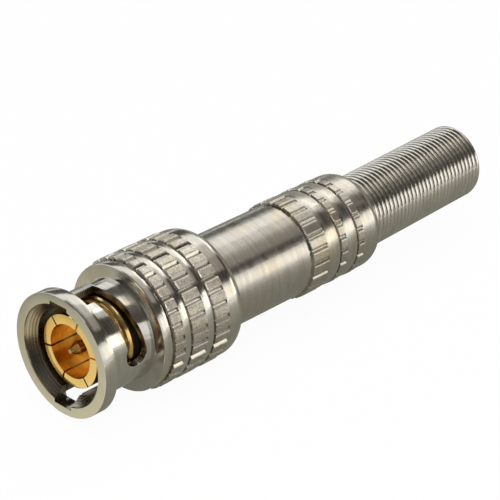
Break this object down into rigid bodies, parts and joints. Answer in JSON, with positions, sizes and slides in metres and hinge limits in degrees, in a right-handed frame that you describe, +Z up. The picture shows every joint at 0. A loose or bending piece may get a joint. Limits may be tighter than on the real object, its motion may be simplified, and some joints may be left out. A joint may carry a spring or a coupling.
{
  "type": "bnc connector",
  "caption": "Male BNC plug with a knurled bayonet nut, gold slotted contact and pin, screw terminals, screwed tail cover and a close-coiled spring as strain relief.",
  "frame": {"origin": "middle of the mating face, on the plug's axis, where the jack holds it", "axes": "+X from the mating face to the spring's end, +Z up through the upper lug entry, +Y to the right seen from the spring"},
  "size_m": [0.0632, 0.015, 0.015],
  "materials": {
    "nut_nickel": "nickel plate, turned",
    "tail_nickel": "nickel plate, polished",
    "body_nickel": "nickel plate",
    "spring_wire": "nickel-plated wire",
    "contact_gold": "gold plate",
    "pin_gold": "gold plate",
    "dielectric": "white insulator",
    "gasket_rubber": "black rubber",
    "washer_steel": "spring steel",
    "ring_steel": "spring steel, dark",
    "screw_steel": "steel",
    "liner": "plastic liner"
  },
  "bodies": {
    "core": {"outer_contact": "contact_gold", "sealing_gasket": "gasket_rubber", "main_body": "body_nickel", "front_insulator": "dielectric", "centre_pin": "pin_gold", "snap_ring": "ring_steel", "rear_insulator": "dielectric"},
    "nut_washers": {"wave_washer": "washer_steel", "thrust_washer": "washer_steel"},
    "nut": {"coupling_nut": "nut_nickel"},
    "screw": {"core_screw": "screw_steel"},
    "tail_inner": {"strain_spring": "spring_wire", "insulating_tube": "liner"},
    "tail": {"tail_sleeve": "tail_nickel"}
  },
  "joints": [
    {"name": "nut_pull", "type": "slide", "parent": "core", "child": "nut_washers", "axis": [-1, 0, 0], "range_m": [0, 0.00045], "stiffness_N_per_m": 1000, "springref_m": -0.0005},
    {"name": "nut_turn", "type": "hinge", "parent": "nut_washers", "child": "nut", "pos_m": [0.0119, 0, 0], "axis": [1, 0, 0], "continuous": true},
    {"name": "screw_turn", "type": "hinge", "parent": "core", "child": "screw", "pos_m": [0.0224, 0, 0], "axis": [0, 0, 1], "range_deg": [0, 720]},
    {"name": "tail_travel", "type": "slide", "parent": "core", "child": "tail_inner", "axis": [1, 0, 0], "range_m": [0, 0.0053]},
    {"name": "tail_turn", "type": "hinge", "parent": "tail_inner", "child": "tail", "pos_m": [0.017, 0, 0], "axis": [1, 0, 0], "range_deg": [0, 2520]}
  ],
  "couplings": [
    {"joint": "tail_travel", "follows": "tail_turn", "m_per_rad": 0.00011937}
  ]
}
